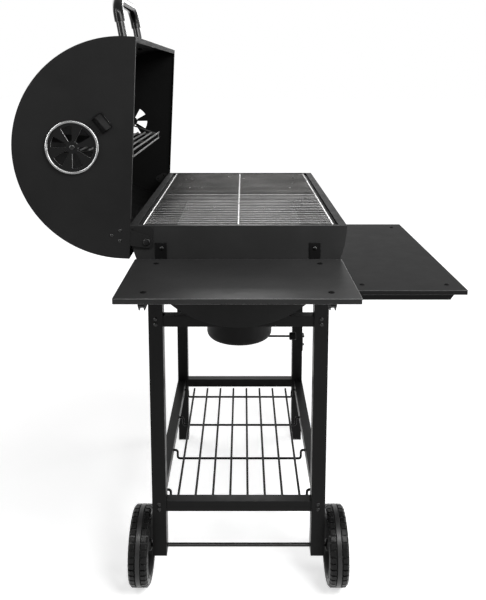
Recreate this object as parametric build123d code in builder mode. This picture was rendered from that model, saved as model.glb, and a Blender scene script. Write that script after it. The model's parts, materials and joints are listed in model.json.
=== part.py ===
from build123d import *
from math import cos, radians, sin, sqrt
import os

# Barrel charcoal grill on a wheeled stand, lid open. Millimetres, +Z up, ground at z = 0.
# The barrel runs along X with the wheels under its -X (left) end. The cook stands on the -Y
# side, and the lid is hinged on the +Y side. The origin is below the middle of the whole grill.

# ---- firebox barrel
barrel_length = 762.0
barrel_radius = 228.6
barrel_sheet = 1.5
axis_above_rim = 5.0
rim_height = 875.0
rim_flange = 17.0
end_flange = 8.0
ash_hole_radius = 9.0
ash_hole_pitch = 34.0

# ---- lid
lid_radius = 229.5
lid_sheet = 1.5
lid_skirt = 19.0
lid_flange = 11.0
lid_rest_gap = 1.0
lid_open_angle = 87.0
hinge_inset = 36.7
hinge_drop = 34.0
hinge_relief = 85.0
hinge_plate = 2.5
hinge_bolt_radius = 4.0
hinge_bolt_head = 7.5
hinge_arm_radius = 13.0
hinge_bracket_edge = 14.0
hinge_bracket_width = 43.0
hinge_bracket_height = 47.0
rivet_radius = 2.5
rivet_head_radius = 3.8
rivet_head_height = 1.8
rivet_rise = 21.0
rivet_spread = 11.0
rivet_triangle = 17.0

# ---- lid handle
handle_angle = 12.6
handle_span = 246.0
handle_reach = 105.0
handle_tube_radius = 10.0
handle_wall = 1.5
handle_bend = 42.0
grip_wall = 2.4
grip_drop = 52.0

# ---- lid vents
vent_rise = 104.5
vent_ring_radius = 56.0
vent_ring_width = 7.0
vent_ring_height = 5.0
vent_disc_sheet = 1.5
vent_blades = 6
vent_blade_angle = 32.0
vent_hole_outer = 44.0
vent_hole_inner = 13.0
vent_first_angle = 42.0
vent_pin_radius = 3.0
vent_tab_angle = 229.0
vent_tab_reach = 80.0
vent_tab_long = 38.0
vent_tab_wide = 25.0
vent_tab_height = 14.0

# ---- warming rack
rack_forward = 12.0
rack_rise = 65.0
rack_drop = 22.0
rack_depth = 150.0
rack_length = 445.0
rack_start = -341.0
rack_wire_radius = 2.2
rack_wires = 9
rack_lip = 14.0
rack_thin_radius = 1.8
rack_end_inset = 6.6
rack_pin_radius = 2.5
hanger_width = 18.0
hanger_sheet = 3.0

# ---- cooking grates and charcoal pans
grate_side_gap = 24.5
grate_margin = 15.0
grate_gap = 2.0
grate_rod_radius = 1.5
grate_border_radius = 2.5
grate_rod_pitch = 20.0
grate_below_rim = 0.5
ledge_width = 34.0
ledge_sheet = 2.0
pan_half_width = 166.0
pan_length = 340.0
pan_height = 65.0
pan_sheet = 1.5
pan_gap = 14.0
pan_hole_radius = 6.0
pan_hole_pitch = 38.0

# ---- ash cup and its damper
cup_radius = 88.0
cup_wall = 1.5
cup_bottom_height = 482.0
cup_top_below_barrel = 11.0
cup_edge_round = 16.0
collar_overlap = 16.0
cup_hole_radius = 10.0
cup_hole_circle = 40.0
damper_radius = 62.0
damper_sheet = 2.0
damper_rod_radius = 2.8
damper_knob_radius = 10.5
damper_knob_length = 18.0
damper_reach = 137.0

# ---- stand
leg_size = 32.0
leg_wall = 1.5
leg_inset = 67.0
leg_outer_y = 200.5
wheel_leg_bottom = 71.0
foot_thickness = 4.0
foot_plug_depth = 20.0
tube_size = 25.0
upper_tube_drop = 19.4
lower_tube_bottom = 183.0
wheel_radius = 88.0
wheel_width = 45.0
wheel_gap = 4.5
tyre_depth = 20.0
hub_bore_radius = 15.0
hub_web = 8.0
hub_spokes = 6
axle_radius = 4.5
axle_nut_radius = 8.0
axle_nut_length = 7.0
bolt_head_radius = 4.6
bolt_head_height = 2.6

# ---- bottom wire shelf
shelf_wire_radius = 3.0
shelf_drop = 14.0
shelf_hook_rise = 24.0
shelf_end_inset = 54.5
shelf_cross_count = 4
shelf_half_width = 165.0
shelf_wire_pitch = 42.2
shelf_wire_count = 8
shelf_wire_inset = 9.0

# ---- side table
side_length = 253.0
side_gap = 4.0
side_half_width = 217.5
side_below_rim = 71.0
table_sheet = 1.5
table_apron = 10.0
side_arm_gap = 4.3
side_arm_width = 11.0
side_arm_height = 25.0
side_ear_reach = 18.0
side_bolt_inset = 7.0
side_bolt_drop = 48.0
side_ear_round = 12.0
screw_inset = 35.0
screw_neck_radius = 3.0
screw_shank_radius = 2.0
screw_length = 8.0
screw_sink = 0.1

# ---- front table
front_inset = 51.0
front_depth = 262.0
front_back_y = 245.0
front_above_belly = 65.6
front_arm_width = 16.0
front_arm_height = 32.0
front_arm_sheet = 2.0
front_arm_end = 496.0
front_pivot_y = 222.0
front_pivot_drop = 18.0
front_bracket_sheet = 3.0
front_bolt_radius = 4.0

# ---- bottle opener on the right front leg
opener_width = 30.0
opener_height = 49.0
opener_bottom = 307.0
opener_sheet = 2.0
opener_reach = 7.0

# ---- clearances
slide_gap = 0.3
bore_gap = 0.08
flush_gap = 0.05

# ---- places that follow from the sizes, from the barrel's middle
axis_height = rim_height + axis_above_rim
barrel_half = barrel_length / 2
rim_half_width = sqrt(barrel_radius**2 - axis_above_rim**2)
inner_radius = barrel_radius - barrel_sheet
grate_half_width = rim_half_width - grate_side_gap
pivot_y = rim_half_width - hinge_inset
pivot_z = rim_height - hinge_drop
open_turn = radians(lid_open_angle)
lid_closed_z = rim_height + lid_rest_gap + lid_skirt
lid_y = pivot_y - pivot_y * cos(open_turn) + (lid_closed_z - pivot_z) * sin(open_turn)
lid_z = pivot_z + pivot_y * sin(open_turn) + (lid_closed_z - pivot_z) * cos(open_turn)
lid_inner_radius = lid_radius - lid_sheet
lid_half_inner = barrel_half + 2 * hinge_plate + slide_gap
lid_half = lid_half_inner + lid_sheet
vent_reach = lid_half + slide_gap + vent_disc_sheet + vent_tab_height
back_reach = lid_y + lid_radius
front_reach = front_back_y + front_depth
left_reach = barrel_half + side_gap + side_length
mid_x = (left_reach - vent_reach) / 2
axis_y = (front_reach - back_reach) / 2
leg_span_x = barrel_length - 2 * leg_inset
leg_x = leg_span_x / 2
leg_y = leg_outer_y - leg_size / 2
leg_inner_y = leg_outer_y - leg_size
upper_tube_bottom = axis_height - barrel_radius - upper_tube_drop
shelf_cross_pitch = (leg_span_x - 2 * shelf_end_inset) / (shelf_cross_count - 1)
shelf_wire_length = leg_span_x - 2 * shelf_wire_inset
side_top = rim_height - side_below_rim
side_arm_y = pivot_y - hinge_bracket_edge - side_arm_gap - side_arm_width / 2
side_ear_low = side_arm_y - side_ear_reach
side_bolt_y = side_arm_y - side_bolt_inset
side_bolt_z = rim_height - side_bolt_drop
front_length = barrel_length - 2 * front_inset
front_height = axis_height - barrel_radius + front_above_belly
sides = ((-1, "left"), (1, "right"))
depths = ((-1, "front"), (1, "back"))


def across(x, y=0, z=0):
    """A plane square to the barrel's length: local x is +Y, local y is +Z, normal +X."""
    return Plane(origin=(mid_x + x, axis_y + y, z), x_dir=(0, 1, 0), z_dir=(1, 0, 0))


def along(y, x=0, z=0):
    """A plane along the barrel's length: local x is +X, local y is +Z, normal -Y."""
    return Plane(origin=(mid_x + x, axis_y + y, z), x_dir=(1, 0, 0), z_dir=(0, -1, 0))


def level(z, x=0, y=0):
    """A level plane: local x is +X, local y is +Y."""
    return Plane(origin=(mid_x + x, axis_y + y, z))


def in_lid(x):
    """The open lid's own section: local x is its +Y and local y its +Z when it is shut."""
    return Plane(
        origin=(mid_x + x, axis_y + lid_y, lid_z),
        x_dir=(0, cos(open_turn), -sin(open_turn)),
        z_dir=(1, 0, 0),
    )


def handle_outward(x):
    """A plane through the lid's axis whose normal is the handle stems' direction."""
    section = in_lid(x)
    front = section.x_dir * -cos(radians(handle_angle))
    return Plane(
        origin=section.origin,
        x_dir=(1, 0, 0),
        z_dir=front + section.y_dir * sin(radians(handle_angle)),
    )


def handle_face():
    """The plane that the bent handle lies in: local x is +X and local y leaves the lid."""
    stems = handle_outward(0)
    return Plane(origin=stems.origin, x_dir=(1, 0, 0), z_dir=-stems.y_dir)


def keep(piece, name):
    """Labels a finished piece and writes it."""
    piece.part.label = name
    export_step(piece.part, f"parts/{name}.step")


os.makedirs("parts", exist_ok=True)

# ---- firebox: rolled shell with its rim turned in, and two end plates
with BuildPart() as firebox_shell:
    with BuildSketch(across(-barrel_half + barrel_sheet, 0, axis_height)):
        with BuildLine():
            rim_y = -axis_above_rim
            lip_y = rim_y - barrel_sheet
            lip_x = rim_half_width - rim_flange
            wall_x = sqrt(inner_radius**2 - lip_y**2)
            ThreePointArc((-rim_half_width, rim_y), (0, -barrel_radius), (rim_half_width, rim_y))
            Polyline((rim_half_width, rim_y), (lip_x, rim_y), (lip_x, lip_y), (wall_x, lip_y))
            ThreePointArc((wall_x, lip_y), (0, -inner_radius), (-wall_x, lip_y))
            Polyline((-wall_x, lip_y), (-lip_x, lip_y), (-lip_x, rim_y), (-rim_half_width, rim_y))
        make_face()
    extrude(amount=barrel_length - 2 * barrel_sheet)
    with BuildSketch(level(axis_height - barrel_radius - barrel_sheet)):
        with GridLocations(ash_hole_pitch, ash_hole_pitch, 3, 3):
            Circle(ash_hole_radius)
    extrude(amount=4 * barrel_sheet, mode=Mode.SUBTRACT)
keep(firebox_shell, "firebox_shell")

for side, name in sides:
    inner_face = side * (barrel_half - barrel_sheet)
    with BuildPart() as firebox_end:
        with BuildSketch(across(inner_face, 0, axis_height)):
            with BuildLine():
                ThreePointArc(
                    (-rim_half_width, -axis_above_rim),
                    (0, -barrel_radius),
                    (rim_half_width, -axis_above_rim),
                )
                Line((rim_half_width, -axis_above_rim), (-rim_half_width, -axis_above_rim))
            make_face()
            with Locations((pivot_y, pivot_z - axis_height)):
                Circle(hinge_bolt_radius + bore_gap, mode=Mode.SUBTRACT)
            with Locations((0, side_bolt_z - axis_height)):
                with GridLocations(2 * side_bolt_y, 1, 2, 1):
                    Circle(rivet_radius + bore_gap, mode=Mode.SUBTRACT)
        extrude(amount=side * barrel_sheet)
        with BuildSketch(level(rim_height - barrel_sheet, inner_face - side * end_flange / 2)):
            Rectangle(end_flange, 2 * (rim_half_width - rim_flange))
        extrude(amount=barrel_sheet)
    keep(firebox_end, f"firebox_end_{name}")

# ---- ledges that carry the cooking grates
grate_top = rim_height - grate_below_rim
grate_wire_z = grate_top - grate_border_radius
ledge_top = grate_wire_z - grate_border_radius - slide_gap
ledge_outer = sqrt(inner_radius**2 - (axis_height - ledge_top + ledge_sheet) ** 2) - flush_gap
with BuildPart() as grate_ledges:
    with BuildSketch(level(ledge_top - ledge_sheet)):
        with GridLocations(1, 2 * ledge_outer - ledge_width, 1, 2):
            Rectangle(barrel_length - 2 * barrel_sheet, ledge_width)
    extrude(amount=ledge_sheet)
keep(grate_ledges, "grate_ledges")

# ---- cooking grates: rods welded between two thicker long wires, and through a third
grate_length = (barrel_length - 2 * grate_margin - grate_gap) / 2
rod_count = int((grate_length - 2 * grate_rod_radius) / grate_rod_pitch) + 1
wire_y = grate_half_width - grate_border_radius
for side, name in sides:
    grate_x = side * (grate_gap + grate_length) / 2
    with BuildPart() as cooking_grate:
        with BuildSketch(along(wire_y, grate_x, grate_wire_z)):
            with GridLocations(grate_rod_pitch, 1, rod_count, 1):
                Circle(grate_rod_radius)
        extrude(amount=2 * wire_y)
        with BuildSketch(across(grate_x - grate_length / 2, 0, grate_wire_z)):
            with GridLocations(wire_y, 1, 3, 1):
                Circle(grate_border_radius)
        extrude(amount=grate_length)
    keep(cooking_grate, f"cooking_grate_{name}")

# ---- charcoal pans: perforated trays that rest on the barrel's curved wall
pan_bottom = axis_height - sqrt(inner_radius**2 - pan_half_width**2) + slide_gap
pan_columns = int((pan_length - pan_hole_pitch) / pan_hole_pitch)
pan_rows = int((2 * pan_half_width - pan_hole_pitch) / pan_hole_pitch)
for side, name in sides:
    pan_x = side * (pan_gap + pan_length) / 2
    with BuildPart() as charcoal_pan:
        with BuildSketch(level(pan_bottom, pan_x)):
            Rectangle(pan_length, 2 * pan_half_width)
        extrude(amount=pan_height)
        with BuildSketch(level(pan_bottom + pan_sheet, pan_x)):
            Rectangle(pan_length - 2 * pan_sheet, 2 * (pan_half_width - pan_sheet))
        extrude(amount=pan_height, mode=Mode.SUBTRACT)
        with BuildSketch(level(pan_bottom, pan_x)):
            with GridLocations(pan_hole_pitch, pan_hole_pitch, pan_columns, pan_rows):
                Circle(pan_hole_radius)
        extrude(amount=pan_sheet, mode=Mode.SUBTRACT)
    keep(charcoal_pan, f"charcoal_pan_{name}")

# ---- ash collar welded under the barrel, and the cup that pushes up over it
barrel_bottom = axis_height - barrel_radius
cup_top = barrel_bottom - cup_top_below_barrel
cup_inner = cup_radius - cup_wall
collar_outer = cup_inner - slide_gap
with BuildPart() as ash_collar:
    with BuildSketch(level(cup_top - collar_overlap)):
        Circle(collar_outer)
        Circle(collar_outer - cup_wall, mode=Mode.SUBTRACT)
    extrude(amount=barrel_radius / 2)
    with BuildSketch(across(-cup_radius, 0, axis_height)):
        Circle(barrel_radius)
    extrude(amount=2 * cup_radius, mode=Mode.SUBTRACT)
keep(ash_collar, "ash_collar")

with BuildPart() as ash_cup:
    with BuildSketch(level(cup_bottom_height)):
        Circle(cup_radius)
    extrude(amount=cup_top - cup_bottom_height)
    fillet(ash_cup.faces().sort_by(Axis.Z)[0].edges(), cup_edge_round)
    offset(amount=-cup_wall, openings=ash_cup.faces().sort_by(Axis.Z)[-1])
    with BuildSketch(level(cup_bottom_height)):
        with PolarLocations(cup_hole_circle, 4):
            Circle(cup_hole_radius)
        Circle(vent_pin_radius)
    extrude(amount=cup_wall, mode=Mode.SUBTRACT)
keep(ash_cup, "ash_cup")

# ---- ash damper: a holed disc turning under the cup, with a rod and knob to the front
damper_top = cup_bottom_height - slide_gap
damper_rod_z = damper_top - damper_sheet - damper_rod_radius + 1
with BuildPart() as ash_damper:
    with BuildSketch(level(damper_top - damper_sheet)):
        Circle(damper_radius)
        with PolarLocations(cup_hole_circle, 4):
            Circle(cup_hole_radius, mode=Mode.SUBTRACT)
        Circle(vent_pin_radius + bore_gap, mode=Mode.SUBTRACT)
    extrude(amount=damper_sheet)
    with BuildSketch(along(-damper_radius + 2 * damper_rod_radius, 0, damper_rod_z)):
        Circle(damper_rod_radius)
    extrude(amount=damper_reach - damper_radius + 2 * damper_rod_radius)
keep(ash_damper, "ash_damper")

with BuildPart() as damper_knob:
    with BuildSketch(along(-damper_reach, 0, damper_rod_z)):
        Circle(damper_knob_radius)
    extrude(amount=damper_knob_length)
    fillet(damper_knob.edges(), damper_knob_radius / 4)
keep(damper_knob, "damper_knob")

with BuildPart() as damper_rivet:
    with BuildSketch(level(damper_top - damper_sheet - slide_gap - rivet_head_height)):
        Circle(2 * vent_pin_radius)
    extrude(amount=rivet_head_height)
    with BuildSketch(level(damper_top - damper_sheet - slide_gap)):
        Circle(vent_pin_radius)
    extrude(amount=damper_sheet + 2 * slide_gap + cup_wall)
keep(damper_rivet, "damper_rivet")

# ---- legs, coped to the barrel at the top; the wheel end stands short on the axle
axle_z = wheel_radius
for side, name in sides:
    for depth, place in depths:
        leg_bottom = wheel_leg_bottom if side < 0 else foot_thickness
        with BuildPart() as leg:
            with BuildSketch(level(leg_bottom, side * leg_x, depth * leg_y)):
                Rectangle(leg_size, leg_size)
                Rectangle(leg_size - 2 * leg_wall, leg_size - 2 * leg_wall, mode=Mode.SUBTRACT)
            extrude(amount=axis_height - leg_bottom)
            with BuildSketch(across(side * leg_x - leg_size, 0, axis_height)):
                Circle(barrel_radius)
            extrude(amount=2 * leg_size, mode=Mode.SUBTRACT)
            if side < 0:
                with BuildSketch(along(depth * leg_y + leg_size, -leg_x, axle_z)):
                    Circle(axle_radius + bore_gap)
                extrude(amount=2 * leg_size, mode=Mode.SUBTRACT)
        keep(leg, f"leg_{name}_{place}")

foot_plug = leg_size - 2 * leg_wall - slide_gap
with BuildPart() as feet:
    with BuildSketch(level(0, leg_x)):
        with GridLocations(1, 2 * leg_y, 1, 2):
            Rectangle(leg_size, leg_size)
    extrude(amount=foot_thickness)
    with BuildSketch(level(foot_thickness, leg_x)):
        with GridLocations(1, 2 * leg_y, 1, 2):
            Rectangle(foot_plug, foot_plug)
    extrude(amount=foot_plug_depth)
keep(feet, "feet")

# ---- cross tubes: the upper ones are notched to seat the barrel
for side, name in sides:
    for bottom, place in ((upper_tube_bottom, "upper"), (lower_tube_bottom, "lower")):
        with BuildPart() as cross_tube:
            with BuildSketch(along(leg_inner_y, side * leg_x, bottom + tube_size / 2)):
                Rectangle(tube_size, tube_size)
                Rectangle(tube_size - 2 * leg_wall, tube_size - 2 * leg_wall, mode=Mode.SUBTRACT)
            extrude(amount=2 * leg_inner_y)
            with BuildSketch(across(side * leg_x - tube_size, 0, axis_height)):
                Circle(barrel_radius)
            extrude(amount=2 * tube_size, mode=Mode.SUBTRACT)
        keep(cross_tube, f"cross_tube_{place}_{name}")

# ---- side rails, drilled on their inner walls for the shelf's wire ends
shelf_z = lower_tube_bottom - shelf_drop
rail_y = leg_outer_y - tube_size / 2
rail_inner_y = rail_y - tube_size / 2
hook_z = shelf_z + shelf_hook_rise
for depth, place in depths:
    with BuildPart() as side_rail:
        with BuildSketch(across(-leg_x + leg_size / 2, depth * rail_y, lower_tube_bottom + tube_size / 2)):
            Rectangle(tube_size, tube_size)
            Rectangle(tube_size - 2 * leg_wall, tube_size - 2 * leg_wall, mode=Mode.SUBTRACT)
        extrude(amount=leg_span_x - leg_size)
        with BuildSketch(along(depth * rail_inner_y, 0, hook_z)):
            with GridLocations(shelf_cross_pitch, 1, shelf_cross_count, 1):
                Circle(shelf_wire_radius + bore_gap)
        extrude(amount=2 * leg_wall, both=True, mode=Mode.SUBTRACT)
    keep(side_rail, f"side_rail_{place}")

# ---- bottom shelf: bent cross wires with long wires welded on top
with BuildPart() as bottom_shelf:
    hook_y = rail_inner_y + 2 * leg_wall
    for index in range(shelf_cross_count):
        wire_x = (index - (shelf_cross_count - 1) / 2) * shelf_cross_pitch
        with BuildLine(across(wire_x)) as bent_wire:
            FilletPolyline(
                (-hook_y, hook_z),
                (-shelf_half_width, hook_z),
                (-shelf_half_width, shelf_z),
                (shelf_half_width, shelf_z),
                (shelf_half_width, hook_z),
                (hook_y, hook_z),
                radius=2 * shelf_wire_radius,
            )
        with BuildSketch(Plane(origin=bent_wire.line @ 0, z_dir=bent_wire.line % 0)):
            Circle(shelf_wire_radius)
        sweep()
    with BuildSketch(across(-shelf_wire_length / 2, 0, shelf_z + 2 * shelf_wire_radius - 1)):
        with GridLocations(shelf_wire_pitch, 1, shelf_wire_count, 1):
            Circle(shelf_wire_radius)
    extrude(amount=shelf_wire_length)
keep(bottom_shelf, "bottom_shelf")

# ---- axle, its nuts and the two wheels
wheel_inner_y = leg_outer_y + wheel_gap
wheel_outer_y = wheel_inner_y + wheel_width
nut_y = wheel_outer_y + slide_gap
with BuildPart() as axle:
    with BuildSketch(along(nut_y + axle_nut_length / 2, -leg_x, axle_z)):
        Circle(axle_radius)
    extrude(amount=2 * nut_y + axle_nut_length)
keep(axle, "axle")

with BuildPart() as axle_nuts:
    for depth, place in depths:
        with BuildSketch(along(depth * nut_y, -leg_x, axle_z)):
            RegularPolygon(axle_nut_radius, 6)
        extrude(amount=-depth * axle_nut_length)
        with BuildSketch(along(depth * nut_y, -leg_x, axle_z)):
            Circle(axle_radius + bore_gap)
        extrude(amount=-depth * axle_nut_length / 2, mode=Mode.SUBTRACT)
keep(axle_nuts, "axle_nuts")

hub_radius = wheel_radius - tyre_depth
for depth, place in depths:
    wheel_middle_y = depth * (wheel_inner_y + wheel_width / 2)
    wheel_side = along(wheel_middle_y + wheel_width / 2, -leg_x, axle_z)
    with BuildPart() as tyre:
        with BuildSketch(wheel_side):
            Circle(wheel_radius)
            Circle(hub_radius, mode=Mode.SUBTRACT)
        extrude(amount=wheel_width)
        fillet(tyre.edges().filter_by(GeomType.CIRCLE).group_by(SortBy.RADIUS)[-1], tyre_depth / 4)
        for edge_y in (-1, 1):
            groove_y = wheel_middle_y + edge_y * wheel_width / 4
            with BuildSketch(along(groove_y + 1.5, -leg_x, axle_z)):
                Circle(wheel_radius)
                Circle(wheel_radius - 2, mode=Mode.SUBTRACT)
            extrude(amount=3, mode=Mode.SUBTRACT)
    keep(tyre, f"tyre_{place}")

    with BuildPart() as hub:
        with BuildSketch(wheel_side):
            Circle(hub_radius)
            Circle(hub_radius - tyre_depth / 5, mode=Mode.SUBTRACT)
            Circle(hub_bore_radius)
        extrude(amount=wheel_width)
        with BuildSketch(along(wheel_middle_y + hub_web / 2, -leg_x, axle_z)):
            Circle(hub_radius - tyre_depth / 10)
            with PolarLocations((hub_radius + hub_bore_radius) / 2, hub_spokes):
                Circle(hub_bore_radius * 0.8, mode=Mode.SUBTRACT)
        extrude(amount=hub_web)
        with BuildSketch(wheel_side):
            Circle(axle_radius + bore_gap)
        extrude(amount=wheel_width, mode=Mode.SUBTRACT)
    keep(hub, f"hub_{place}")

# ---- side table: a folded sheet on two channel arms bolted to the barrel's end
on_base = (Align.CENTER, Align.CENTER, Align.MIN)
below_base = (Align.CENTER, Align.CENTER, Align.MAX)
screw_slope = (bolt_head_radius - screw_neck_radius) / table_sheet
screw_top_radius = bolt_head_radius - screw_slope * screw_sink
side_outer_x = barrel_half + side_gap + side_length
side_middle_x = -(barrel_half + side_gap + side_length / 2)
with BuildPart() as side_table:
    with BuildSketch(level(side_top - table_apron, side_middle_x)):
        Rectangle(side_length, 2 * side_half_width)
    extrude(amount=table_apron)
    with BuildSketch(level(side_top - table_apron, side_middle_x)):
        Rectangle(side_length - 2 * table_sheet, 2 * (side_half_width - table_sheet))
    extrude(amount=table_apron - table_sheet, mode=Mode.SUBTRACT)
    with BuildSketch(level(side_top - table_apron, -(barrel_half + side_gap))):
        with GridLocations(1, 2 * side_arm_y, 1, 2):
            Rectangle(4 * table_sheet, side_arm_width + 2 * slide_gap)
    extrude(amount=table_apron - table_sheet, mode=Mode.SUBTRACT)
    fillet(side_table.edges().filter_by(Axis.Z).group_by(SortBy.LENGTH)[-1], 2 * table_sheet)
    with Locations(level(side_top - table_sheet, side_middle_x)):
        with GridLocations(side_length - 2 * screw_inset, 2 * side_arm_y, 2, 2):
            Cone(screw_neck_radius, bolt_head_radius, table_sheet, align=on_base, mode=Mode.SUBTRACT)
keep(side_table, "side_table")

side_arm_top = side_top - table_sheet
side_arm_low = side_arm_top - side_arm_height
side_arm_end = side_outer_x - 2 * table_sheet
ear_out = side_arm_y + side_arm_width / 2
with BuildPart() as side_arms:
    for depth, place in depths:
        with BuildSketch(along(depth * side_arm_y + side_arm_width / 2)):
            with BuildLine():
                Polyline(
                    (-barrel_half, side_arm_top),
                    (-side_arm_end, side_arm_top),
                    (-side_arm_end, side_arm_low + side_arm_height / 2),
                    (-side_arm_end + side_arm_height / 2, side_arm_low),
                    (-barrel_half, side_arm_low),
                    close=True,
                )
            make_face()
        extrude(amount=side_arm_width)
        with BuildSketch(level(side_arm_low, -(side_arm_end + barrel_half) / 2, depth * side_arm_y)):
            Rectangle(side_arm_end - barrel_half - 4 * hinge_plate, side_arm_width - 2 * table_sheet)
        extrude(amount=side_arm_height - table_sheet, mode=Mode.SUBTRACT)
        with BuildSketch(across(-barrel_half, depth * (ear_out + side_ear_low) / 2)):
            with Locations((0, (side_arm_low + side_bolt_z + side_ear_round) / 2)):
                Rectangle(ear_out - side_ear_low, side_bolt_z + side_ear_round - side_arm_low)
        extrude(amount=-hinge_plate)
        with BuildSketch(across(-barrel_half, depth * side_bolt_y, side_bolt_z)):
            Circle(rivet_radius + bore_gap)
        extrude(amount=-hinge_plate, mode=Mode.SUBTRACT)
    with Locations(level(side_arm_top, side_middle_x)):
        with GridLocations(side_length - 2 * screw_inset, 2 * side_arm_y, 2, 2):
            Cylinder(screw_shank_radius + bore_gap, screw_length, align=below_base, mode=Mode.SUBTRACT)
keep(side_arms, "side_arms")

with BuildPart() as side_screws:
    with Locations(level(side_arm_top, side_middle_x)):
        with GridLocations(side_length - 2 * screw_inset, 2 * side_arm_y, 2, 2):
            Cone(screw_neck_radius, screw_top_radius, table_sheet - screw_sink, align=on_base)
            Cylinder(screw_shank_radius, screw_length, align=below_base)
keep(side_screws, "side_screws")

# ---- front table: a folded sheet on two arms that swing down beside the legs
front_middle_y = -(front_back_y + front_depth / 2)
arm_outer_x = leg_x - leg_size / 2 - front_bracket_sheet - slide_gap
arm_middle_x = arm_outer_x - front_arm_width / 2
front_arm_top = front_height - table_sheet
front_arm_low = front_arm_top - front_arm_height
front_pivot_z = front_height - front_pivot_drop
arm_round = front_arm_height / 2
with BuildPart() as front_table:
    with BuildSketch(level(front_height - table_apron, 0, front_middle_y)):
        Rectangle(front_length, front_depth)
    extrude(amount=table_apron)
    with BuildSketch(level(front_height - table_apron, 0, front_middle_y)):
        Rectangle(front_length - 2 * table_sheet, front_depth - 2 * table_sheet)
    extrude(amount=table_apron - table_sheet, mode=Mode.SUBTRACT)
    with BuildSketch(level(front_height - table_apron, 0, -front_back_y)):
        with GridLocations(2 * arm_middle_x, 1, 2, 1):
            Rectangle(front_arm_width + 2 * slide_gap, 4 * table_sheet)
    extrude(amount=table_apron - table_sheet, mode=Mode.SUBTRACT)
    fillet(front_table.edges().filter_by(Axis.Z).group_by(SortBy.LENGTH)[-1], 2 * table_sheet)
    with Locations(level(front_height - table_sheet, 0, front_middle_y)):
        with GridLocations(2 * arm_middle_x, front_depth - 2 * screw_inset, 2, 2):
            Cone(screw_neck_radius, bolt_head_radius, table_sheet, align=on_base, mode=Mode.SUBTRACT)
keep(front_table, "front_table")

with BuildPart() as front_arms:
    for side, name in sides:
        with BuildSketch(across(side * arm_middle_x - front_arm_width / 2)):
            with BuildLine():
                Polyline(
                    (-front_pivot_y, front_arm_low),
                    (-front_arm_end + arm_round, front_arm_low),
                    (-front_arm_end, front_arm_top - arm_round / 2),
                    (-front_arm_end, front_arm_top),
                    (-front_pivot_y, front_arm_top),
                )
                ThreePointArc(
                    (-front_pivot_y, front_arm_top),
                    (-front_pivot_y + arm_round, front_arm_top - arm_round),
                    (-front_pivot_y, front_arm_low),
                )
            make_face()
        extrude(amount=front_arm_width)
        channel_y = -(front_pivot_y + front_arm_end) / 2
        with BuildSketch(level(front_arm_low, side * arm_middle_x, channel_y)):
            Rectangle(
                front_arm_width - 2 * front_arm_sheet,
                front_arm_end - front_pivot_y + 2 * (arm_round - front_arm_sheet) - arm_round,
            )
        extrude(amount=front_arm_height - front_arm_sheet, mode=Mode.SUBTRACT)
        with BuildSketch(across(side * arm_middle_x - front_arm_width, -front_pivot_y, front_pivot_z)):
            Circle(front_bolt_radius + bore_gap)
        extrude(amount=2 * front_arm_width, mode=Mode.SUBTRACT)
    with Locations(level(front_arm_top, 0, front_middle_y)):
        with GridLocations(2 * arm_middle_x, front_depth - 2 * screw_inset, 2, 2):
            Cylinder(screw_shank_radius + bore_gap, screw_length, align=below_base, mode=Mode.SUBTRACT)
keep(front_arms, "front_arms")

with BuildPart() as front_brackets:
    for side, name in sides:
        with BuildSketch(across(side * (leg_x - leg_size / 2), 0, front_pivot_z)):
            with Locations((-(front_pivot_y + leg_inner_y) / 2, 0)):
                Rectangle(front_pivot_y - leg_inner_y, 2 * (arm_round - 1))
            with Locations((-front_pivot_y, 0)):
                Circle(arm_round - 1)
                Circle(front_bolt_radius + bore_gap, mode=Mode.SUBTRACT)
        extrude(amount=-side * front_bracket_sheet)
keep(front_brackets, "front_brackets")

with BuildPart() as front_pivots:
    for side, name in sides:
        bolt_outer = side * (leg_x - leg_size / 2)
        bolt_inner = side * (arm_outer_x - front_arm_width - slide_gap)
        with BuildSketch(across(bolt_outer, -front_pivot_y, front_pivot_z)):
            Circle(1.8 * front_bolt_radius)
        extrude(amount=side * bolt_head_height)
        with BuildSketch(across(bolt_outer, -front_pivot_y, front_pivot_z)):
            Circle(front_bolt_radius)
        extrude(amount=bolt_inner - bolt_outer)
        with BuildSketch(across(bolt_inner, -front_pivot_y, front_pivot_z)):
            RegularPolygon(1.8 * front_bolt_radius, 6)
        extrude(amount=-side * 2 * bolt_head_height)
keep(front_pivots, "front_pivots")

with BuildPart() as front_screws:
    with Locations(level(front_arm_top, 0, front_middle_y)):
        with GridLocations(2 * arm_middle_x, front_depth - 2 * screw_inset, 2, 2):
            Cone(screw_neck_radius, screw_top_radius, table_sheet - screw_sink, align=on_base)
            Cylinder(screw_shank_radius, screw_length, align=below_base)
keep(front_screws, "front_screws")

# ---- dome-head bolts that hold the stand's tubes and the side table's arms
with BuildPart() as frame_bolts:
    for side, name in sides:
        with BuildSketch(across(side * (leg_x + leg_size / 2))):
            for bottom in (upper_tube_bottom, lower_tube_bottom):
                with Locations((0, bottom + tube_size / 2)):
                    with GridLocations(2 * leg_y, tube_size / 2, 2, 2):
                        Circle(bolt_head_radius)
        extrude(amount=side * bolt_head_height)
    for radius, start_x, length in (
        (bolt_head_radius, -barrel_half - hinge_plate, -bolt_head_height),
        (rivet_radius, -barrel_half - hinge_plate, hinge_plate + 3 * barrel_sheet),
    ):
        with BuildSketch(across(start_x, 0, side_bolt_z)):
            with GridLocations(2 * side_bolt_y, 1, 2, 1):
                Circle(radius)
        extrude(amount=length)
keep(frame_bolts, "frame_bolts")

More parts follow.
